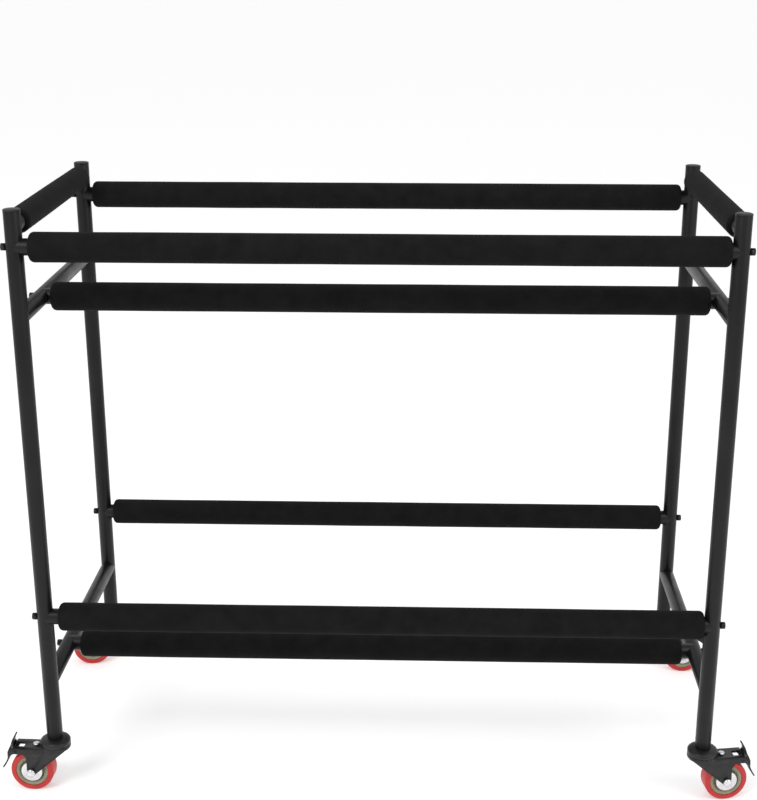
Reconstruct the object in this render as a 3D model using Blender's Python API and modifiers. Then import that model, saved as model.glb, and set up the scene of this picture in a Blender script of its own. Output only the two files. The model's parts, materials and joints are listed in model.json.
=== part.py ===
# Two-tier rolling rack for snare drums: two welded end frames of round steel tube,
# padded bars bolted between them, and four swivel castors with brakes.
# Metres, +Z up. The origin is on the floor under the middle of the rack, +X to the
# right and +Y to the back.

import math

import bmesh
import bpy
from mathutils import Matrix, Vector

# Frame
LEG_SPACING = 0.930          # between leg axes, left to right
LEG_DEPTH = 0.386            # between leg axes, front to back
TUBE_RADIUS = 0.0112
TUBE_WALL = 0.0015
LEG_FOOT = 0.0823            # lower end of the legs
LEG_TOP = 0.8480             # upper end of the legs, under the caps
GAP = 0.0003                 # clearance between pieces that touch
TUBE_SIDES = 16
RACE_SIDES = 20
CORE_SIDES = 24
SMALL_SIDES = 12

# Heights of the tube axes
UPPER_BAR_HEIGHT = 0.801
UPPER_CROSS_HEIGHT = 0.708
LOWER_BAR_HEIGHT = 0.275
LOWER_CROSS_HEIGHT = 0.175
END_BAR_HEIGHT = 0.830
MID_BAR_OFFSET = -0.080      # the low bars lie forward of the middle

# Foam sleeves
FOAM_RADIUS = 0.0200
END_FOAM_RADIUS = 0.0170
FOAM_EDGE = 0.0050           # rounding of a sleeve's ends

# Cap screws that hold the bars
SCREW_RADIUS = 0.0030
SCREW_HEAD_RADIUS = 0.0049
SCREW_HEAD_HEIGHT = 0.0062
SCREW_REACH = 0.0200         # how far a screw enters a bar
SOCKET_RADIUS = 0.0029
SOCKET_DEPTH = 0.0032
PLUG_LENGTH = 0.0240         # threaded plug welded in each bar end

# Leg caps
CAP_TOP = 0.8510
CAP_RADIUS = 0.0117
CAP_PLUG = 0.0150

# Castors, measured from the swivel axis and the floor
WHEEL_RADIUS = 0.0310
WHEEL_SIDES = 32
TYRE_HALF_WIDTH = 0.0115
TREAD_HALF_WIDTH = 0.0065
CORE_RADIUS = 0.0233
CORE_HALF_WIDTH = 0.0105
HUB_RADIUS = 0.0152
HUB_HALF_WIDTH = 0.0120
TRAIL = 0.0348               # swivel axis to axle
AXLE_RADIUS = 0.0040
AXLE_HEAD_RADIUS = 0.0063
AXLE_HEAD_HEIGHT = 0.0040
FORK_HALF_WIDTH = 0.0155
FORK_WALL = 0.0025
FORK_TOP = 0.0687            # top of the fork's flat plate
FORK_END = 0.0600
FORK_TIP_RADIUS = 0.0060
RACE_RADIUS = 0.0215
RACE_SPLIT = 0.0720          # joint between the fixed and the turning race
RACE_TOP = 0.0820
KINGPIN_RADIUS = 0.0063
STEM_TOP = 0.1200
PEDAL_PIVOT = (0.0570, 0.0640)
PEDAL_SHEET = 0.0020
PEDAL_PIN_RADIUS = 0.0016
PEDAL_EAR_OFFSET = 0.0117

# Where each castor points at rest: the angle of its trailing direction from +X
CASTORS = {
    "front_left": (-1, -1, math.radians(178.0)),
    "front_right": (1, -1, math.radians(9.0)),
    "rear_left": (-1, 1, math.radians(188.0)),
    "rear_right": (1, 1, math.radians(-3.0)),
}

# Long bars: across-depth place, height, quarter turn for the saddle ends,
# inset of the foam from the leg axis and shift of the foam along the bar
LONG_BARS = {
    "upper_front": (-LEG_DEPTH / 2, UPPER_BAR_HEIGHT, False, 0.0165, 0.0035),
    "upper_rear": (LEG_DEPTH / 2, UPPER_BAR_HEIGHT, False, 0.0165, 0.0),
    "upper_mid": (MID_BAR_OFFSET, UPPER_CROSS_HEIGHT, True, 0.0140, 0.0),
    "lower_front": (-LEG_DEPTH / 2, LOWER_BAR_HEIGHT, False, 0.0165, 0.0045),
    "lower_rear": (LEG_DEPTH / 2, LOWER_BAR_HEIGHT, False, 0.0165, 0.0),
    "lower_mid": (MID_BAR_OFFSET, LOWER_CROSS_HEIGHT, True, 0.0195, 0.0),
}
END_FOAM_INSET = 0.0200


def start_scene():
    for obj in list(bpy.data.objects):
        bpy.data.objects.remove(obj, do_unlink=True)
    for name in ("snare_drum_rack", "cutters"):
        old = bpy.data.collections.get(name)
        if old:
            bpy.data.collections.remove(old)
    rack = bpy.data.collections.new("snare_drum_rack")
    cutters = bpy.data.collections.new("cutters")
    bpy.context.scene.collection.children.link(rack)
    bpy.context.scene.collection.children.link(cutters)
    return rack, cutters


def make_material(name, colour, roughness, metallic):
    material = bpy.data.materials.new(name)
    material.use_nodes = True
    shader = material.node_tree.nodes["Principled BSDF"]
    shader.inputs["Base Color"].default_value = (*colour, 1.0)
    shader.inputs["Roughness"].default_value = roughness
    shader.inputs["Metallic"].default_value = metallic
    material.diffuse_color = (*colour, 1.0)
    return material


def link_cutter(obj):
    CUTTERS.objects.link(obj)
    obj.hide_render = True
    obj.display_type = "WIRE"
    return obj


def turned(name, profile, sides, closed=False):
    # A profile of (radius, height) points, down the outer side, turned about Z.
    mesh = bpy.data.meshes.new(name)
    edges = [(i, i + 1) for i in range(len(profile) - 1)]
    if closed:
        edges.append((len(profile) - 1, 0))
    mesh.from_pydata([(r, 0.0, z) for r, z in profile], edges, [])
    obj = bpy.data.objects.new(name, mesh)
    screw = obj.modifiers.new("turn", "SCREW")
    screw.axis = "Z"
    screw.steps = sides
    screw.render_steps = sides
    screw.use_merge_vertices = True
    screw.merge_threshold = 0.00002
    screw.use_smooth_shade = False
    return obj


def extruded(name, outline, half_width):
    # An outline of (x, z) points, thickened along Y about the middle plane.
    curve = bpy.data.curves.new(name, "CURVE")
    curve.dimensions = "2D"
    curve.fill_mode = "BOTH"
    curve.extrude = half_width
    spline = curve.splines.new("POLY")
    spline.points.add(len(outline) - 1)
    for point, (x, z) in zip(spline.points, outline):
        point.co = (x, z, 0.0, 1.0)
    spline.use_cyclic_u = True
    flat = bpy.data.objects.new(name, curve)
    CUTTERS.objects.link(flat)
    flat.rotation_euler = (math.pi / 2, 0.0, 0.0)
    solid = bpy.data.objects.new(name, evaluated_mesh(flat, weld=0.00001))
    bpy.data.objects.remove(flat, do_unlink=True)
    return solid


def cylinder(name, radius, length, sides, axis="Z", centre=(0.0, 0.0, 0.0)):
    mesh = bpy.data.meshes.new(name)
    bm = bmesh.new()
    bmesh.ops.create_cone(bm, cap_ends=True, segments=sides, radius1=radius, radius2=radius, depth=length)
    if axis == "X":
        bmesh.ops.rotate(bm, verts=bm.verts, matrix=Matrix.Rotation(math.pi / 2, 3, "Y"))
    if axis == "Y":
        bmesh.ops.rotate(bm, verts=bm.verts, matrix=Matrix.Rotation(math.pi / 2, 3, "X"))
    bmesh.ops.translate(bm, verts=bm.verts, vec=centre)
    bm.to_mesh(mesh)
    bm.free()
    return bpy.data.objects.new(name, mesh)


def box(name, low, high):
    mesh = bpy.data.meshes.new(name)
    bm = bmesh.new()
    bmesh.ops.create_cube(bm, size=1.0)
    low, high = Vector(low), Vector(high)
    bmesh.ops.scale(bm, verts=bm.verts, vec=high - low)
    bmesh.ops.translate(bm, verts=bm.verts, vec=(low + high) / 2)
    bm.to_mesh(mesh)
    bm.free()
    return bpy.data.objects.new(name, mesh)


def boolean(obj, other, operation="DIFFERENCE"):
    modifier = obj.modifiers.new(operation.lower(), "BOOLEAN")
    modifier.operation = operation
    modifier.object = other
    modifier.solver = "EXACT"


def evaluated_mesh(obj, weld=0.0):
    # The object's mesh with its modifiers and its place worked in.
    bpy.context.view_layer.update()
    graph = bpy.context.evaluated_depsgraph_get()
    mesh = bpy.data.meshes.new_from_object(obj.evaluated_get(graph))
    mesh.transform(obj.matrix_world)
    if weld:
        bm = bmesh.new()
        bm.from_mesh(mesh)
        bmesh.ops.remove_doubles(bm, verts=bm.verts, dist=weld)
        bmesh.ops.recalc_face_normals(bm, faces=bm.faces)
        bm.to_mesh(mesh)
        bm.free()
    return mesh


def master_mesh(obj, cuts=(), joins=(), keeps=(), origin=(0.0, 0.0, 0.0)):
    # Works cuts and joins into one mesh whose zero point is the given origin.
    CUTTERS.objects.link(obj)
    for other in joins:
        boolean(obj, link_cutter(other), "UNION")
    for other in keeps:
        boolean(obj, link_cutter(other), "INTERSECT")
    for other in cuts:
        boolean(obj, link_cutter(other))
    mesh = evaluated_mesh(obj)
    mesh.transform(Matrix.Translation(-Vector(origin)))
    mesh.name = obj.name
    for other in (obj, *joins, *keeps, *cuts):
        bpy.data.objects.remove(other, do_unlink=True)
    return mesh


def place(name, mesh, material, location, rotation=(0.0, 0.0, 0.0), parent=None):
    if not mesh.materials:
        mesh.materials.append(material)
        for polygon in mesh.polygons:
            polygon.material_index = 0
        mesh.shade_smooth()
        mesh.set_sharp_from_angle(angle=math.radians(35))
    obj = bpy.data.objects.new(name, mesh)
    RACK.objects.link(obj)
    obj.location = location
    obj.rotation_euler = rotation
    obj.parent = parent
    return obj


def leg_mesh():
    inner = TUBE_RADIUS - TUBE_WALL
    tube = turned("leg", [(TUBE_RADIUS, LEG_TOP), (TUBE_RADIUS, LEG_FOOT), (inner, LEG_FOOT), (inner, LEG_TOP)],
                  TUBE_SIDES, closed=True)
    holes = [
        cylinder("screw_hole", SCREW_RADIUS + GAP, 4 * TUBE_RADIUS, SMALL_SIDES, "X", (0.0, 0.0, height))
        for height in (LOWER_BAR_HEIGHT, UPPER_BAR_HEIGHT)
    ]
    return master_mesh(tube, cuts=holes)


def long_bar_mesh():
    # A tube between the legs, with a threaded plug in each end and saddle ends.
    half = LEG_SPACING / 2
    inner = TUBE_RADIUS - TUBE_WALL
    bore = SCREW_RADIUS + GAP
    plug = half - PLUG_LENGTH
    profile = [(TUBE_RADIUS, half), (TUBE_RADIUS, -half), (bore, -half), (bore, -plug),
               (inner, -plug), (inner, plug), (bore, plug), (bore, half)]
    bar = turned("long_bar", profile, TUBE_SIDES, closed=True)
    bar.rotation_euler = (0.0, math.pi / 2, 0.0)
    saddles = [
        cylinder("saddle", TUBE_RADIUS + GAP, 4 * TUBE_RADIUS, TUBE_SIDES, "Z", (side * half, 0.0, 0.0))
        for side in (-1, 1)
    ]
    return master_mesh(bar, cuts=saddles)


def side_tube_mesh(name, screw_place=None):
    # A front-to-back tube of an end frame, saddle-cut to the legs it is welded to.
    half = LEG_DEPTH / 2
    inner = TUBE_RADIUS - TUBE_WALL
    tube = turned(name, [(TUBE_RADIUS, half), (TUBE_RADIUS, -half), (inner, -half), (inner, half)],
                  TUBE_SIDES, closed=True)
    tube.rotation_euler = (math.pi / 2, 0.0, 0.0)
    cuts = [
        cylinder("saddle", TUBE_RADIUS + GAP, 4 * TUBE_RADIUS, TUBE_SIDES, "Z", (0.0, side * half, 0.0))
        for side in (-1, 1)
    ]
    if screw_place is not None:
        cuts.append(cylinder("screw_hole", SCREW_RADIUS + GAP, 4 * TUBE_RADIUS, SMALL_SIDES, "X", (0.0, screw_place, 0.0)))
    return master_mesh(tube, cuts=cuts)


def foam_mesh(name, radius, length):
    # A sleeve along X whose ends are rounded over.
    half = length / 2
    bore = TUBE_RADIUS + GAP
    corner = [
        (radius - FOAM_EDGE * (1 - math.sin(a)), half - FOAM_EDGE * (1 - math.cos(a)))
        for a in (math.radians(step) for step in (0, 45, 90))
    ]
    outer = corner + [(r, -z) for r, z in reversed(corner)]
    sleeve = turned(name, outer + [(bore, -half), (bore, half)], TUBE_SIDES, closed=True)
    sleeve.rotation_euler = (0.0, math.pi / 2, 0.0)
    return master_mesh(sleeve)


def cap_mesh():
    # A moulded cap: a low head over the tube's end and a plug inside it.
    under = LEG_TOP + GAP
    plug = TUBE_RADIUS - TUBE_WALL - GAP
    profile = [(0.0, CAP_TOP), (0.0070, CAP_TOP - 0.0001), (0.0100, CAP_TOP - 0.0005), (0.0113, CAP_TOP - 0.0013),
               (CAP_RADIUS, under + 0.0006), (CAP_RADIUS - 0.0003, under), (plug, under),
               (plug, LEG_TOP - CAP_PLUG), (0.0, LEG_TOP - CAP_PLUG)]
    return master_mesh(turned("leg_cap", profile, TUBE_SIDES))


def screw_mesh():
    # A cap screw along X, its head outwards, for a leg at the zero point.
    seat = TUBE_RADIUS + GAP
    top = seat + SCREW_HEAD_HEIGHT
    end = -(TUBE_RADIUS + SCREW_REACH)
    bevel = 0.0006
    profile = [(0.0, top), (SCREW_HEAD_RADIUS - bevel, top), (SCREW_HEAD_RADIUS, top - bevel),
               (SCREW_HEAD_RADIUS, seat), (SCREW_RADIUS, seat), (SCREW_RADIUS, end), (0.0, end)]
    screw = turned("cap_screw", profile, SMALL_SIDES)
    screw.rotation_euler = (0.0, math.pi / 2, 0.0)
    socket = cylinder("socket", SOCKET_RADIUS, 2 * SOCKET_DEPTH, 6, "X", (top, 0.0, 0.0))
    return master_mesh(screw, cuts=[socket])


def stem_mesh():
    # Sleeve in the leg, fixed race under it and kingpin through the fork.
    sleeve = TUBE_RADIUS - TUBE_WALL - GAP
    underside = FORK_TOP - FORK_WALL - GAP
    profile = [(0.0, STEM_TOP), (sleeve - 0.001, STEM_TOP), (sleeve, STEM_TOP - 0.001), (sleeve, RACE_TOP),
               (0.0125, RACE_TOP), (0.0180, RACE_TOP - 0.0009), (RACE_RADIUS - 0.0008, RACE_TOP - 0.0024),
               (RACE_RADIUS, RACE_TOP - 0.0036), (RACE_RADIUS, RACE_SPLIT + GAP), (KINGPIN_RADIUS, RACE_SPLIT + GAP),
               (KINGPIN_RADIUS, underside), (0.0090, underside), (0.0084, underside - 0.0026),
               (0.0, underside - 0.0030)]
    return master_mesh(turned("castor_stem", profile, RACE_SIDES))


def fork_mesh():
    # A pressed channel round the wheel, with the turning race at its inner end.
    slope = Vector((-0.7544, 0.6564))
    normal = Vector((-0.6564, -0.7544))
    axle = Vector((TRAIL, WHEEL_RADIUS))
    lower = axle + normal * FORK_TIP_RADIUS
    top = lower + slope * ((FORK_TOP - lower.y) / slope.y)
    start = math.atan2(normal.y, normal.x)
    tip = [
        (axle.x + FORK_TIP_RADIUS * math.cos(a), axle.y + FORK_TIP_RADIUS * math.sin(a))
        for a in (start + (math.tau - (start % math.tau)) * step / 6 for step in range(7))
    ]
    outline = [(top.x, FORK_TOP)] + tip + [(0.0405, 0.0535), (0.0455, 0.0606), (FORK_END, 0.0606),
                                           (FORK_END, FORK_TOP)]
    fork = extruded("castor_fork", outline, FORK_HALF_WIDTH)
    round_long_edges(fork.data, FORK_TOP, 0.0018)
    race = turned("turning_race", [(RACE_RADIUS, RACE_SPLIT), (RACE_RADIUS, FORK_TOP - 0.0012),
                                   (RACE_RADIUS - 0.0013, FORK_TOP - FORK_WALL), (0.0080, FORK_TOP - FORK_WALL),
                                   (0.0080, RACE_SPLIT)], RACE_SIDES, closed=True)
    inner = FORK_HALF_WIDTH - FORK_WALL
    channel = box("channel", (-0.0400, -inner, 0.0), (0.0800, inner, FORK_TOP - FORK_WALL))
    pin_hole = cylinder("kingpin_hole", KINGPIN_RADIUS + GAP, 0.03, RACE_SIDES, "Z", (0.0, 0.0, FORK_TOP))
    window = box("window", (0.0450, -0.0063, FORK_TOP - 0.006), (0.0585, 0.0063, FORK_TOP + 0.006))
    axle_hole = cylinder("axle_hole", AXLE_RADIUS + GAP, 0.06, SMALL_SIDES, "Y", (TRAIL, 0.0, WHEEL_RADIUS))
    pedal_hole = cylinder("pedal_hole", PEDAL_PIN_RADIUS + GAP, 0.06, SMALL_SIDES, "Y", (PEDAL_PIVOT[0], 0.0, PEDAL_PIVOT[1]))
    return master_mesh(fork, joins=[race], cuts=[channel, pin_hole, window, axle_hole, pedal_hole])


def round_long_edges(mesh, height, radius):
    # Rounds the bends where a channel's top meets its sides.
    bm = bmesh.new()
    bm.from_mesh(mesh)
    edges = [
        e for e in bm.edges
        if all(abs(v.co.z - height) < 1e-5 for v in e.verts) and abs(e.verts[0].co.y - e.verts[1].co.y) < 1e-6
    ]
    bmesh.ops.bevel(bm, geom=edges, offset=radius, offset_type="OFFSET", segments=2, profile=0.5,
                    affect="EDGES", material=-1)
    bm.to_mesh(mesh)
    bm.free()


def tyre_mesh():
    # Flat facets round the tread, one of them down on the floor.
    flat = WHEEL_RADIUS / math.cos(math.pi / WHEEL_SIDES)
    edge = TYRE_HALF_WIDTH
    tread = TREAD_HALF_WIDTH
    half = [(CORE_RADIUS + GAP, edge), (flat - 0.0048, edge), (flat - 0.0016, edge - 0.0014), (flat, tread)]
    profile = half[1:] + [(r, -y) for r, y in reversed(half)] + half[:1]
    tyre = turned("castor_tyre", profile, WHEEL_SIDES, closed=True)
    tyre.rotation_euler = (math.pi / 2, 0.0, 0.0)
    mesh = master_mesh(tyre)
    mesh.transform(Matrix.Rotation(math.pi / WHEEL_SIDES, 4, "Y"))
    return mesh


def core_mesh():
    # Rim, dished web and bearing hub, turned as one.
    bore = AXLE_RADIUS + GAP
    half = [(bore, HUB_HALF_WIDTH), (HUB_RADIUS, HUB_HALF_WIDTH), (HUB_RADIUS, 0.0070), (0.0180, 0.0070),
            (0.0180, CORE_HALF_WIDTH), (CORE_RADIUS, CORE_HALF_WIDTH)]
    profile = half[1:] + [(r, -y) for r, y in reversed(half)] + half[:1]
    core = turned("castor_core", profile, CORE_SIDES, closed=True)
    core.rotation_euler = (math.pi / 2, 0.0, 0.0)
    return master_mesh(core)


def axle_mesh():
    # Axle bolt along Y: rounded head at +Y, nut at -Y.
    seat = FORK_HALF_WIDTH + GAP
    head = seat + AXLE_HEAD_HEIGHT
    profile = [(0.0, head), (AXLE_HEAD_RADIUS - 0.0018, head), (AXLE_HEAD_RADIUS - 0.0004, head - 0.0011),
               (AXLE_HEAD_RADIUS, seat + 0.0008), (AXLE_HEAD_RADIUS, seat), (AXLE_RADIUS, seat),
               (AXLE_RADIUS, -head - 0.0010), (0.0, -head - 0.0010)]
    axle = turned("castor_axle", profile, SMALL_SIDES)
    axle.rotation_euler = (-math.pi / 2, 0.0, 0.0)
    nut = cylinder("axle_nut", AXLE_HEAD_RADIUS, AXLE_HEAD_HEIGHT, 6, "Y", (0.0, -seat - AXLE_HEAD_HEIGHT / 2, 0.0))
    return master_mesh(axle, joins=[nut])


def ribbon(points, thickness):
    # The outline of a bent strip seen from its edge, its bends mitred.
    points = [Vector(p) for p in points]
    normals = []
    for i in range(len(points)):
        ahead = (points[min(i + 1, len(points) - 1)] - points[max(i, 1) - 1 if i else 0]).normalized()
        if i in (0, len(points) - 1):
            along = (points[1] - points[0]) if i == 0 else (points[-1] - points[-2])
            ahead = along.normalized()
        normals.append(Vector((-ahead.y, ahead.x)))
    near = [p + n * thickness / 2 for p, n in zip(points, normals)]
    far = [p - n * thickness / 2 for p, n in zip(points, normals)]
    return [tuple(p) for p in near + far[::-1]]


def pedal_mesh():
    # A bent sheet lever: release tab up, foot tab down, ears and pin at its middle.
    bends = [(0.0565, 0.0870), (0.0612, 0.0780), (0.0635, 0.0700), (0.0672, 0.0620), (0.0676, 0.0540),
             (0.0708, 0.0455), (0.0752, 0.0375), (0.0797, 0.0305)]
    lever = extruded("castor_pedal", ribbon(bends, PEDAL_SHEET), 0.0125)
    front = [(-0.0015, 0.0890), (-0.0085, 0.0715), (-0.0125, 0.0690), (-0.0125, 0.0540), (-0.0090, 0.0510),
             (-0.0040, 0.0320), (-0.0025, 0.0290)]
    face = extruded("pedal_face", front + [(-y, z) for y, z in reversed(front)], 0.03)
    face.data.transform(Matrix.Translation((0.065, 0.0, 0.0)) @ Matrix.Rotation(math.pi / 2, 4, "Z"))
    x, z = PEDAL_PIVOT
    ear = [(x - 0.0018, z + 0.0012), (x - 0.0018, z - 0.0014), (x + 0.0004, z - 0.0034), (0.0660, 0.0550),
           (0.0676, 0.0560), (0.0670, 0.0615), (0.0635, 0.0690), (0.0622, 0.0690), (0.0612, z + 0.0018),
           (x, z + 0.0018)]
    joins = []
    for side in (-1, 1):
        cheek = extruded("ear", ear, PEDAL_SHEET / 2)
        cheek.data.transform(Matrix.Translation((0.0, side * PEDAL_EAR_OFFSET, 0.0)))
        joins.append(cheek)
    pin_length = 2 * (FORK_HALF_WIDTH + 0.0006)
    pin = cylinder("pedal_pin", PEDAL_PIN_RADIUS, pin_length, SMALL_SIDES, "Y", (x, 0.0, z))
    lever_mesh = master_mesh(lever, keeps=[face])
    lever = bpy.data.objects.new("castor_pedal", lever_mesh)
    return master_mesh(lever, joins=[*joins, pin], origin=(x, 0.0, z))


def build_frame():
    side_names = {-1: "left", 1: "right"}
    depth_names = {-1: "front", 1: "rear"}
    leg, cap = leg_mesh(), cap_mesh()
    for side in (-1, 1):
        for depth in (-1, 1):
            spot = (side * LEG_SPACING / 2, depth * LEG_DEPTH / 2, 0.0)
            corner = f"{depth_names[depth]}_{side_names[side]}"
            place(f"leg_{corner}", leg, BLACK_STEEL, spot)
            place(f"leg_cap_{corner}", cap, BLACK_PLASTIC, spot)

    cross = side_tube_mesh("cross_tube", MID_BAR_OFFSET)
    end_tube = side_tube_mesh("end_bar_tube")
    end_foam = foam_mesh("end_foam", END_FOAM_RADIUS, LEG_DEPTH - 2 * END_FOAM_INSET)
    for side in (-1, 1):
        x = side * LEG_SPACING / 2
        place(f"upper_cross_tube_{side_names[side]}", cross, BLACK_STEEL, (x, 0.0, UPPER_CROSS_HEIGHT))
        place(f"lower_cross_tube_{side_names[side]}", cross, BLACK_STEEL, (x, 0.0, LOWER_CROSS_HEIGHT))
        place(f"end_bar_tube_{side_names[side]}", end_tube, BLACK_STEEL, (x, 0.0, END_BAR_HEIGHT))
        place(f"end_bar_foam_{side_names[side]}", end_foam, FOAM, (x, 0.0, END_BAR_HEIGHT),
              (0.0, 0.0, math.pi / 2))


def build_long_bars():
    bar, screw = long_bar_mesh(), screw_mesh()
    foams = {}
    for name, (y, z, turn, inset, shift) in LONG_BARS.items():
        if inset not in foams:
            foams[inset] = foam_mesh("bar_foam", FOAM_RADIUS, LEG_SPACING - 2 * inset)
        place(f"{name}_bar_tube", bar, BLACK_STEEL, (0.0, y, z), (math.pi / 2 if turn else 0.0, 0.0, 0.0))
        place(f"{name}_bar_foam", foams[inset], FOAM, (shift, y, z))
        if turn:
            continue
        place(f"{name}_bar_screw_left", screw, BLACK_SCREW, (-LEG_SPACING / 2, y, z), (0.0, 0.0, math.pi))
        place(f"{name}_bar_screw_right", screw, BLACK_SCREW, (LEG_SPACING / 2, y, z))


def build_castors():
    stem, fork, tyre, core, axle, pedal = (
        stem_mesh(), fork_mesh(), tyre_mesh(), core_mesh(), axle_mesh(), pedal_mesh())
    hub = (TRAIL, 0.0, WHEEL_RADIUS)
    for corner, (side, depth, angle) in CASTORS.items():
        swivel = bpy.data.objects.new(f"swivel_axis_{corner}", None)
        RACK.objects.link(swivel)
        swivel.location = (side * LEG_SPACING / 2, depth * LEG_DEPTH / 2, 0.0)
        swivel.rotation_euler = (0.0, 0.0, angle)
        head_turn = 0.0 if side * depth > 0 else math.pi
        place(f"castor_stem_{corner}", stem, ZINC_BLACK, swivel.location)
        place(f"castor_fork_{corner}", fork, ZINC_BLACK, (0.0, 0.0, 0.0), parent=swivel)
        place(f"castor_tyre_{corner}", tyre, RED_TYRE, hub, parent=swivel)
        place(f"castor_core_{corner}", core, OLIVE_CORE, hub, parent=swivel)
        place(f"castor_axle_{corner}", axle, BRIGHT_ZINC, hub, (0.0, 0.0, head_turn), parent=swivel)
        place(f"castor_pedal_{corner}", pedal, ZINC_BLACK, (PEDAL_PIVOT[0], 0.0, PEDAL_PIVOT[1]), parent=swivel)


RACK, CUTTERS = start_scene()
BLACK_STEEL = make_material("black_powder_coat", (0.018, 0.018, 0.019), 0.38, 0.0)
BLACK_PLASTIC = make_material("black_cap_plastic", (0.020, 0.020, 0.021), 0.45, 0.0)
BLACK_SCREW = make_material("black_screw", (0.016, 0.016, 0.018), 0.35, 0.6)
FOAM = make_material("black_foam", (0.012, 0.012, 0.013), 0.95, 0.0)
ZINC_BLACK = make_material("black_castor_steel", (0.014, 0.014, 0.015), 0.42, 0.3)
RED_TYRE = make_material("red_tyre", (0.52, 0.018, 0.020), 0.38, 0.0)
OLIVE_CORE = make_material("olive_core", (0.26, 0.24, 0.16), 0.5, 0.0)
BRIGHT_ZINC = make_material("bright_zinc", (0.78, 0.78, 0.80), 0.25, 1.0)

build_frame()
build_long_bars()
build_castors()
for left_over in [o for o in CUTTERS.objects]:
    bpy.data.objects.remove(left_over, do_unlink=True)
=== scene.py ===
import json
import math

import bmesh
import bpy
from mathutils import Matrix, Vector, noise


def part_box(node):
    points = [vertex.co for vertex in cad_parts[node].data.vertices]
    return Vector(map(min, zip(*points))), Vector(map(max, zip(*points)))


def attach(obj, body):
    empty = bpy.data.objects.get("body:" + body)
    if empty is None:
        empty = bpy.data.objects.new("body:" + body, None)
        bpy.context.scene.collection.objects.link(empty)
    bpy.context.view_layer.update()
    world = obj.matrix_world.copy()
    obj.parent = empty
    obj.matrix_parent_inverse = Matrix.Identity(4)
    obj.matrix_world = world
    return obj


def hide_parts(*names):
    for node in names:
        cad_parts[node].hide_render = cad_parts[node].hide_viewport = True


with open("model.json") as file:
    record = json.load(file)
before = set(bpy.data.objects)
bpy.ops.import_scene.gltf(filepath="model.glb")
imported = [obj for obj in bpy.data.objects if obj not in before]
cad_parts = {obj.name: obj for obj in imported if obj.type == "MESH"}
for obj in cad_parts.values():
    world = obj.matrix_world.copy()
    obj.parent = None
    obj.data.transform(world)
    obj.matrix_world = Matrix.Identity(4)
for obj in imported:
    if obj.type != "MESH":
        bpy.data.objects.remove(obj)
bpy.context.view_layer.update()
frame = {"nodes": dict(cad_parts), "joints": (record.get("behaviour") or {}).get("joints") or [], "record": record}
print("frame loaded")

corners = ("front_left", "front_right", "rear_left", "rear_right")
sides = ("left", "right")
tiers = ("upper", "lower")
nodeBody = {node: body for body, nodes in frame["record"]["behaviour"]["bodies"].items() for node in nodes}
nodeSlot = {entry["node"]: entry["material_slot"] for entry in frame["record"]["subparts"]}
joints = {joint["name"]: joint for joint in frame["joints"]}


# Shared steps for the finishes

patchSpan = (0.3, 0.7)      # the part of a noise's range that a colour or roughness change uses


def newMaterial(name, roughness, metallic=0.0, specular=0.5):
    material = bpy.data.materials.new(name)
    material.use_nodes = True
    shader = material.node_tree.nodes["Principled BSDF"]
    shader.inputs["Roughness"].default_value = roughness
    shader.inputs["Metallic"].default_value = metallic
    shader.inputs["Specular IOR Level"].default_value = specular
    return material, material.node_tree, shader


def patternOn(tree, kind, scale):
    # a pattern on the piece's own Object coordinates
    place = tree.nodes.new("ShaderNodeTexCoord")
    texture = tree.nodes.new(kind)
    texture.inputs["Scale"].default_value = scale
    tree.links.new(place.outputs["Object"], texture.inputs["Vector"])
    return texture


def noiseTexture(tree, scale, detail=4.0):
    texture = patternOn(tree, "ShaderNodeTexNoise", scale)
    texture.inputs["Detail"].default_value = detail
    return texture


def colourBetween(tree, shader, scale, dark, light):
    ramp = tree.nodes.new("ShaderNodeValToRGB")
    for element, position, colour in zip(ramp.color_ramp.elements, patchSpan, (dark, light)):
        element.position = position
        element.color = (*colour, 1.0)
    tree.links.new(noiseTexture(tree, scale).outputs["Fac"], ramp.inputs["Fac"])
    tree.links.new(ramp.outputs["Color"], shader.inputs["Base Color"])


def roughnessBetween(tree, shader, scale, low, high):
    spread = tree.nodes.new("ShaderNodeMapRange")
    spread.inputs["From Min"].default_value = patchSpan[0]
    spread.inputs["From Max"].default_value = patchSpan[1]
    spread.inputs["To Min"].default_value = low
    spread.inputs["To Max"].default_value = high
    tree.links.new(noiseTexture(tree, scale).outputs["Fac"], spread.inputs["Value"])
    tree.links.new(spread.outputs["Result"], shader.inputs["Roughness"])


def bumpFrom(tree, shader, height, strength, distance):
    bump = tree.nodes.new("ShaderNodeBump")
    bump.inputs["Strength"].default_value = strength
    bump.inputs["Distance"].default_value = distance
    tree.links.new(height, bump.inputs["Height"])
    tree.links.new(bump.outputs["Normal"], shader.inputs["Normal"])


def fineGrain(tree, shader, scale, strength, distance):
    grain = noiseTexture(tree, scale, detail=2.0)
    bumpFrom(tree, shader, grain.outputs["Fac"], strength, distance)


# Black powder coat on the tubes

coat = {"roughness": 0.36, "specular": 0.24, "patch": 14.0, "dark": (0.004, 0.004, 0.005),
        "light": (0.008, 0.008, 0.009), "peel": 900.0, "peelStrength": 0.16, "peelDepth": 0.0002,
        "sheenPatch": 30.0, "smooth": 0.32, "rough": 0.42}


def powderCoat():
    material, tree, shader = newMaterial("powderCoat", coat["roughness"], specular=coat["specular"])
    colourBetween(tree, shader, coat["patch"], coat["dark"], coat["light"])
    fineGrain(tree, shader, coat["peel"], coat["peelStrength"], coat["peelDepth"])
    roughnessBetween(tree, shader, coat["sheenPatch"], coat["smooth"], coat["rough"])
    return material


# Moulded black plastic of the leg caps

moulded = {"roughness": 0.45, "specular": 0.3, "patch": 60.0, "dark": (0.010, 0.010, 0.011),
           "light": (0.016, 0.016, 0.017), "grain": 1600.0, "grainStrength": 0.2, "grainDepth": 0.0001}


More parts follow.
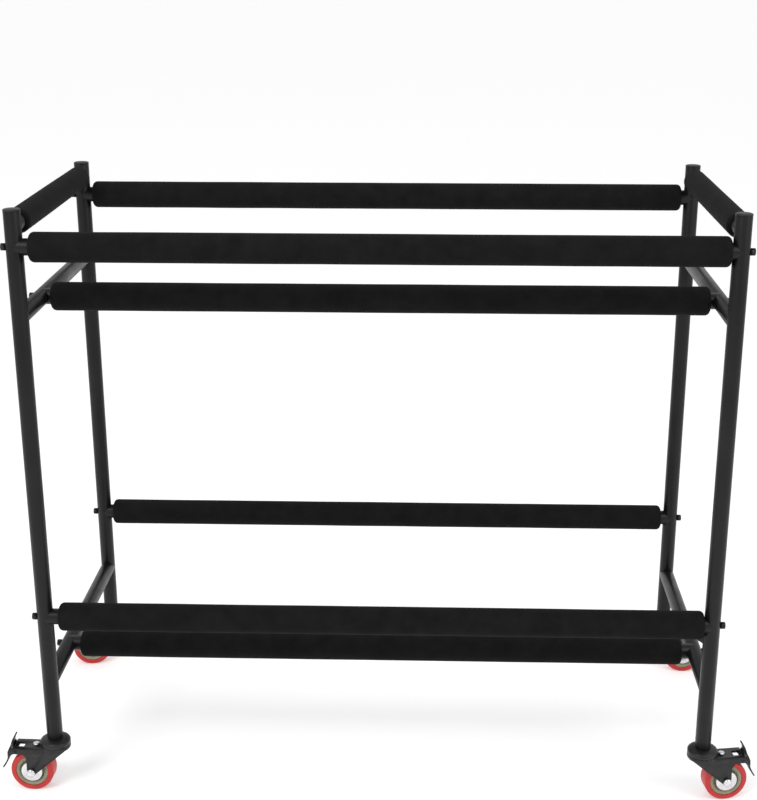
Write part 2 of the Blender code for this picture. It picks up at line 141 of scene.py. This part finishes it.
def capPlastic():
    material, tree, shader = newMaterial("capPlastic", moulded["roughness"], specular=moulded["specular"])
    colourBetween(tree, shader, moulded["patch"], moulded["dark"], moulded["light"])
    fineGrain(tree, shader, moulded["grain"], moulded["grainStrength"], moulded["grainDepth"])
    return material


# Blackened steel of the cap screws

blackened = {"roughness": 0.34, "metallic": 0.5, "patch": 200.0, "dark": (0.010, 0.010, 0.012),
             "light": (0.028, 0.028, 0.031), "sheenPatch": 500.0, "smooth": 0.28, "rough": 0.42}


def screwBlack():
    material, tree, shader = newMaterial("screwBlack", blackened["roughness"], metallic=blackened["metallic"])
    colourBetween(tree, shader, blackened["patch"], blackened["dark"], blackened["light"])
    roughnessBetween(tree, shader, blackened["sheenPatch"], blackened["smooth"], blackened["rough"])
    return material


# Foam, whose closed cells show as a fine pitted skin

skin = {"roughness": 0.88, "specular": 0.12, "patch": 45.0, "dark": (0.0045, 0.0045, 0.005),
        "light": (0.0080, 0.0080, 0.0088), "cells": 1100.0, "cellStrength": 0.35, "cellDepth": 0.0003}


def foamSkin():
    material, tree, shader = newMaterial("foamSkin", skin["roughness"], specular=skin["specular"])
    colourBetween(tree, shader, skin["patch"], skin["dark"], skin["light"])
    cells = patternOn(tree, "ShaderNodeTexVoronoi", skin["cells"])
    bumpFrom(tree, shader, cells.outputs["Distance"], skin["cellStrength"], skin["cellDepth"])
    return material


# Coated pressed steel of the castors

pressed = {"roughness": 0.38, "metallic": 0.2, "specular": 0.4, "patch": 90.0, "dark": (0.008, 0.008, 0.009),
           "light": (0.017, 0.017, 0.018), "sheenPatch": 160.0, "smooth": 0.32, "rough": 0.46,
           "grain": 1200.0, "grainStrength": 0.12, "grainDepth": 0.0001}


def castorSteel():
    material, tree, shader = newMaterial("castorSteel", pressed["roughness"], pressed["metallic"],
                                         pressed["specular"])
    colourBetween(tree, shader, pressed["patch"], pressed["dark"], pressed["light"])
    roughnessBetween(tree, shader, pressed["sheenPatch"], pressed["smooth"], pressed["rough"])
    fineGrain(tree, shader, pressed["grain"], pressed["grainStrength"], pressed["grainDepth"])
    return material


# Red tyres

tread = {"roughness": 0.34, "patch": 80.0, "dark": (0.43, 0.012, 0.014), "light": (0.56, 0.020, 0.022),
         "sheenPatch": 240.0, "smooth": 0.28, "rough": 0.44}


def redTread():
    material, tree, shader = newMaterial("redTread", tread["roughness"])
    colourBetween(tree, shader, tread["patch"], tread["dark"], tread["light"])
    roughnessBetween(tree, shader, tread["sheenPatch"], tread["smooth"], tread["rough"])
    return material


# Olive-grey wheel cores

olive = {"roughness": 0.5, "patch": 120.0, "dark": (0.22, 0.205, 0.135), "light": (0.29, 0.27, 0.185),
         "grain": 1500.0, "grainStrength": 0.15, "grainDepth": 0.0001}


def oliveCore():
    material, tree, shader = newMaterial("oliveCore", olive["roughness"])
    colourBetween(tree, shader, olive["patch"], olive["dark"], olive["light"])
    fineGrain(tree, shader, olive["grain"], olive["grainStrength"], olive["grainDepth"])
    return material


# Bright zinc of the axles, bearing discs and rivets

zinc = {"roughness": 0.25, "metallic": 1.0, "patch": 150.0, "dark": (0.62, 0.62, 0.64),
        "light": (0.80, 0.80, 0.82), "sheenPatch": 320.0, "smooth": 0.2, "rough": 0.36}


def brightZinc():
    material, tree, shader = newMaterial("brightZinc", zinc["roughness"], metallic=zinc["metallic"])
    colourBetween(tree, shader, zinc["patch"], zinc["dark"], zinc["light"])
    roughnessBetween(tree, shader, zinc["sheenPatch"], zinc["smooth"], zinc["rough"])
    return material


finishes = {
    "black_powder_coat": powderCoat(),
    "black_cap_plastic": capPlastic(),
    "black_screw": screwBlack(),
    "black_foam": foamSkin(),
    "black_castor_steel": castorSteel(),
    "red_tyre": redTread(),
    "olive_core": oliveCore(),
    "bright_zinc": brightZinc(),
}
print("materials made")


# Shared steps for the pieces

sharpAngle = math.radians(35)
mergeDistance = 0.00001


def finishPiece(name, bm, slotName, body, replaced=()):
    mesh = bpy.data.meshes.new(name)
    bm.to_mesh(mesh)
    bm.free()
    mesh.shade_smooth()
    mesh.set_sharp_from_angle(angle=sharpAngle)
    mesh.materials.append(finishes[slotName])
    piece = bpy.data.objects.new(name, mesh)
    bpy.context.scene.collection.objects.link(piece)
    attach(piece, body)
    if replaced:
        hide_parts(*replaced)
    return piece


def roundBar(radius, length, edge, edgeSteps, segments=48):
    # a bar along Z about the zero point, its ends rounded over
    bm = bmesh.new()
    bmesh.ops.create_cone(bm, cap_ends=True, segments=segments, radius1=radius, radius2=radius, depth=length)
    rims = [e for e in bm.edges if abs(e.verts[0].co.z - e.verts[1].co.z) < length / 2]
    bmesh.ops.bevel(bm, geom=rims, offset=edge, segments=edgeSteps, profile=0.5, affect="EDGES", material=-1)
    return bm


def layAlong(bm, axis, centre):
    turns = {"X": Matrix.Rotation(math.pi / 2, 4, "Y"), "Y": Matrix.Rotation(-math.pi / 2, 4, "X"),
             "Z": Matrix.Identity(4)}
    bmesh.ops.transform(bm, matrix=Matrix.Translation(centre) @ turns[axis], verts=bm.verts)


def lengthAlong(node, axis):
    low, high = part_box(node)
    index = "XYZ".index(axis)
    return high[index] - low[index]


def middleOf(node):
    low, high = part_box(node)
    return (low + high) / 2


# Steel tubes, finer than the frame's

tube = {"radius": 0.0112, "edge": 0.0004, "edgeSteps": 2, "reach": 0.0030}


def makeTube(node, axis):
    length = lengthAlong(node, axis)
    if axis != "Z":
        length += 2 * tube["reach"]     # into what the tube's saddle end meets
    bm = roundBar(tube["radius"], length, tube["edge"], tube["edgeSteps"])
    layAlong(bm, axis, middleOf(node))
    return finishPiece(node + "_steel", bm, nodeSlot[node], nodeBody[node], [node])


for corner in corners:
    makeTube("leg_" + corner, "Z")
for side in sides:
    for name in ("upper_cross_tube_", "lower_cross_tube_", "end_bar_tube_"):
        makeTube(name + side, "Y")
longBars = [tier + "_" + place + "_bar" for tier in tiers for place in ("front", "rear", "mid")]
for bar in longBars:
    makeTube(bar + "_tube", "X")
print("tubes made")


# Foam sleeves, a little uneven along their length

foam = {"edge": 0.0062, "edgeSteps": 5, "segments": 64, "slices": 36, "unevenness": 0.00022, "wave": 14.0,
        "seedStart": 2.0, "seedSteps": (1.0, 7.0, 5.0)}


def sliceAcross(bm, length, slices):
    for step in range(1, slices):
        height = length * (step / slices - 0.5)
        bmesh.ops.bisect_plane(bm, geom=bm.verts[:] + bm.edges[:] + bm.faces[:], plane_co=(0, 0, height),
                               plane_no=(0, 0, 1))


def makeFoam(node, axis):
    low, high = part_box(node)
    length = lengthAlong(node, axis)
    radius = (high.z - low.z) / 2
    bm = roundBar(radius - foam["unevenness"], length, foam["edge"], foam["edgeSteps"], foam["segments"])
    sliceAcross(bm, length, foam["slices"])
    seed = Vector([place * step for place, step in zip(low, foam["seedSteps"])])
    seed.x += foam["seedStart"]
    for vert in bm.verts:
        outward = Vector((vert.co.x, vert.co.y, 0.0))
        if outward.length < radius / 2:
            continue
        swell = noise.noise(vert.co * foam["wave"] + seed)
        vert.co += outward.normalized() * foam["unevenness"] * swell
    layAlong(bm, axis, (low + high) / 2)
    piece = finishPiece(node + "_sleeve", bm, "black_foam", "rack", [node])
    return piece


for bar in longBars:
    makeFoam(bar + "_foam", "X")
for side in sides:
    makeFoam("end_bar_foam_" + side, "Y")
print("foam sleeves made")


# Caps, screws and castor parts: the frame's own shapes with their points merged, so that they shade smoothly

def mergedCopy(node):
    bm = bmesh.new()
    bm.from_mesh(frame["nodes"][node].data)
    bmesh.ops.remove_doubles(bm, verts=bm.verts, dist=mergeDistance)
    return bm


def keepsItsShape(node):
    small = node.startswith(("leg_cap_", "castor_")) or "_screw_" in node
    return small and not node.startswith("castor_tyre_")


for node in sorted(frame["nodes"]):
    if keepsItsShape(node):
        finishPiece(node + "_smooth", mergedCopy(node), nodeSlot[node], nodeBody[node], [node])

# The mid bars' screws, alike to the front bars'
for tier in tiers:
    for side in sides:
        source = tier + "_front_bar_screw_" + side
        shift = middleOf(tier + "_mid_bar_tube") - middleOf(source)
        bm = mergedCopy(source)
        bmesh.ops.translate(bm, verts=bm.verts, vec=(0.0, shift.y, shift.z))
        finishPiece(tier + "_mid_bar_screw_" + side, bm, "black_screw", "rack")
print("caps, screws and castors smoothed")


# Places on the castors

def castorTurn(corner):
    # the castor's own axes: +X along its trailing direction, +Z up the swivel axis
    swivel = Vector(joints["swivel_" + corner]["pos_m"])
    hub = hubPlace(corner)
    angle = math.atan2(hub.y - swivel.y, hub.x - swivel.x)
    return Matrix.Translation((swivel.x, swivel.y, 0.0)) @ Matrix.Rotation(angle, 4, "Z")


def hubPlace(corner):
    return Vector(joints["spin_" + corner]["pos_m"])


def moveToHub(bm, corner):
    aim = castorTurn(corner).to_3x3().to_4x4()
    bmesh.ops.transform(bm, matrix=Matrix.Translation(hubPlace(corner)) @ aim, verts=bm.verts)


# Tyres

wheel = {"outer": 0.0310, "inner": 0.0236, "halfWidth": 0.0115, "crown": 0.0030, "arcStep": 15, "steps": 96}


def makeTyre(corner):
    bm = bmesh.new()
    half, crown = wheel["halfWidth"], wheel["crown"]
    arc = [(wheel["outer"] - crown * (1 - math.sin(a)), half - crown * (1 - math.cos(a)))
           for a in (math.radians(step) for step in range(0, 91, wheel["arcStep"]))]
    profile = [(wheel["inner"], half)] + arc + [(r, -y) for r, y in reversed(arc)] + [(wheel["inner"], -half)]
    ring = [bm.verts.new((r, y, 0.0)) for r, y in profile]
    edges = [bm.edges.new((ring[i], ring[(i + 1) % len(ring)])) for i in range(len(ring))]
    bmesh.ops.spin(bm, geom=ring + edges, cent=(0, 0, 0), axis=(0, 1, 0), angle=math.tau,
                   steps=wheel["steps"], use_merge=True)
    bmesh.ops.recalc_face_normals(bm, faces=bm.faces)
    moveToHub(bm, corner)
    node = "castor_tyre_" + corner
    finishPiece(node + "_tread", bm, "red_tyre", "wheel_" + corner, [node])


# Bearing discs, one on each side of a wheel's hub

bearingDisc = {"radius": 0.0152, "seat": 0.0120, "thickness": 0.0006, "edge": 0.0002, "edgeSteps": 2}


def makeBearingDiscs(corner):
    for direction, word in ((-1, "near"), (1, "far")):
        bm = roundBar(bearingDisc["radius"], bearingDisc["thickness"], bearingDisc["edge"],
                      bearingDisc["edgeSteps"])
        layAlong(bm, "Y", (0.0, direction * (bearingDisc["seat"] + bearingDisc["thickness"] / 2), 0.0))
        moveToHub(bm, corner)
        finishPiece("bearing_disc_" + word + "_" + corner, bm, "bright_zinc", "wheel_" + corner)


# Rivets on the forks' plates

rivet = {"radius": 0.0048, "height": 0.0033, "edge": 0.0016, "edgeSteps": 4, "segments": 32,
         "place": 0.0286, "plateTop": 0.0687}


def makeRivet(corner):
    bm = roundBar(rivet["radius"], rivet["height"], rivet["edge"], rivet["edgeSteps"], rivet["segments"])
    layAlong(bm, "Z", (rivet["place"], 0.0, rivet["plateTop"] + rivet["height"] / 2))
    bmesh.ops.transform(bm, matrix=castorTurn(corner), verts=bm.verts)
    finishPiece("leaf_rivet_" + corner, bm, "bright_zinc", "fork_" + corner)


for corner in corners:
    makeTyre(corner)
    makeBearingDiscs(corner)
    makeRivet(corner)
print("wheels and rivets made")


# Floor

studioFloor = {"size": 60.0, "roughness": 0.9, "specular": 0.1, "colour": (0.94, 0.94, 0.94), "lift": 0.22}


def makeFloor():
    bm = bmesh.new()
    bmesh.ops.create_grid(bm, x_segments=1, y_segments=1, size=studioFloor["size"])
    mesh = bpy.data.meshes.new("studioFloor")
    bm.to_mesh(mesh)
    bm.free()
    material, tree, shader = newMaterial("paleFloor", studioFloor["roughness"],
                                         specular=studioFloor["specular"])
    shader.inputs["Base Color"].default_value = (*studioFloor["colour"], 1.0)
    # brighter to the camera and in reflections, so that the floor reads as white and keeps its shadow
    path = tree.nodes.new("ShaderNodeLightPath")
    seen = tree.nodes.new("ShaderNodeMath")
    seen.operation = "MAXIMUM"
    lift = tree.nodes.new("ShaderNodeMath")
    lift.operation = "MULTIPLY"
    lift.inputs[1].default_value = studioFloor["lift"]
    tree.links.new(path.outputs["Is Camera Ray"], seen.inputs[0])
    tree.links.new(path.outputs["Is Glossy Ray"], seen.inputs[1])
    tree.links.new(seen.outputs["Value"], lift.inputs[0])
    tree.links.new(lift.outputs["Value"], shader.inputs["Emission Strength"])
    shader.inputs["Emission Color"].default_value = (1.0, 1.0, 1.0, 1.0)
    mesh.materials.append(material)
    floor = bpy.data.objects.new("studioFloor", mesh)
    bpy.context.scene.collection.objects.link(floor)


# Light: an even white room, a key lamp at the front left and a fill lamp at the front right

room = {"lightStrength": 0.8, "seenStrength": 1.0}
lampAim = (0.0, 0.0, 0.45)
keyLamp = {"place": (-1.6, -2.2, 2.8), "size": 1.6, "power": 45.0}
fillLamp = {"place": (2.2, -1.4, 2.0), "size": 1.6, "power": 18.0}


def makeWorld():
    world = bpy.data.worlds.new("studioWorld")
    world.use_nodes = True
    bpy.context.scene.world = world
    nodes, links = world.node_tree.nodes, world.node_tree.links
    background = nodes["Background"]
    background.inputs["Color"].default_value = (1.0, 1.0, 1.0, 1.0)
    path = nodes.new("ShaderNodeLightPath")
    strength = nodes.new("ShaderNodeMapRange")
    strength.inputs["To Min"].default_value = room["lightStrength"]
    strength.inputs["To Max"].default_value = room["seenStrength"]
    links.new(path.outputs["Is Camera Ray"], strength.inputs["Value"])
    links.new(strength.outputs["Result"], background.inputs["Strength"])


def makeLamp(name, lamp):
    data = bpy.data.lights.new(name, "AREA")
    data.shape = "DISK"
    data.size = lamp["size"]
    data.energy = lamp["power"]
    obj = bpy.data.objects.new(name, data)
    obj.location = lamp["place"]
    obj.rotation_euler = (Vector(lampAim) - Vector(lamp["place"])).to_track_quat("-Z", "Y").to_euler()
    bpy.context.scene.collection.objects.link(obj)


# Camera at the photograph's viewpoint: metres, radians, pixels and sensor millimetres

photoView = {"place": (0.0739, -2.0203, 1.195), "yaw": -0.0277, "pitch": 0.3245, "roll": 0.0009,
             "focalPixels": 1454.37, "widthPixels": 757, "sensor": 36.0, "shiftX": -0.0199, "shiftY": 0.0176}


def makeCamera():
    data = bpy.data.cameras.new("photoCamera")
    data.sensor_fit = "HORIZONTAL"
    data.sensor_width = photoView["sensor"]
    data.lens = photoView["focalPixels"] * photoView["sensor"] / photoView["widthPixels"]
    data.shift_x = photoView["shiftX"]
    data.shift_y = photoView["shiftY"]
    camera = bpy.data.objects.new("photoCamera", data)
    bpy.context.scene.collection.objects.link(camera)
    turn = (Matrix.Rotation(-photoView["yaw"], 4, "Z")
            @ Matrix.Rotation(math.pi / 2 - photoView["pitch"], 4, "X")
            @ Matrix.Rotation(photoView["roll"], 4, "Z"))
    camera.matrix_world = Matrix.Translation(photoView["place"]) @ turn
    bpy.context.scene.camera = camera


makeFloor()
makeWorld()
makeLamp("keyLamp", keyLamp)
makeLamp("fillLamp", fillLamp)
makeCamera()
bpy.context.scene.view_settings.view_transform = "Standard"
print("floor, light and camera made")
